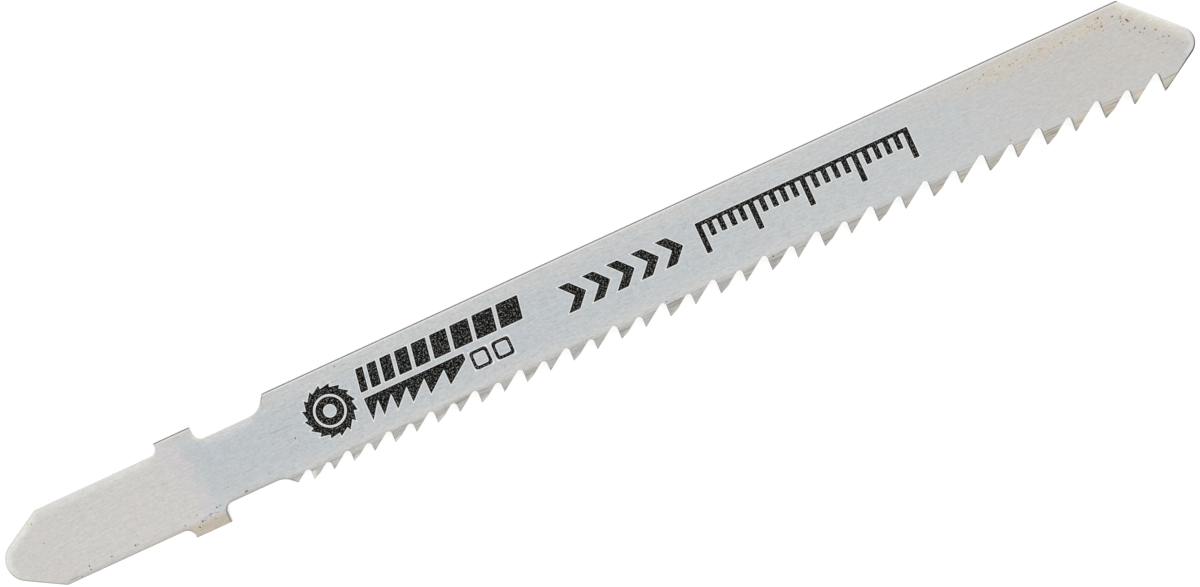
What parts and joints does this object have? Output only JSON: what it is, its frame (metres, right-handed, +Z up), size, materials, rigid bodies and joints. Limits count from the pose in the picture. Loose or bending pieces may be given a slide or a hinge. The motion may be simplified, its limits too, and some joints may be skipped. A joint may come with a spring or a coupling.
{
  "type": "jigsaw blade",
  "caption": "Flat T-shank jigsaw blade with progressive side-set teeth along one edge, a straight back edge and a chamfered rounded tip.",
  "frame": {"origin": "on the blade's underside, on the shank's centreline, level with the front of the lugs", "axes": "+X along the blade from the shank to the tip, +Y from the teeth to the back edge, +Z up through the thickness of the blade as it lies on its side"},
  "size_m": [0.1, 0.008, 0.0014],
  "materials": {
    "blade_steel": "ground flat faces with fine lengthwise brushing, satin"
  },
  "bodies": {
    "root": {"blade": "blade_steel"}
  },
  "joints": []
}
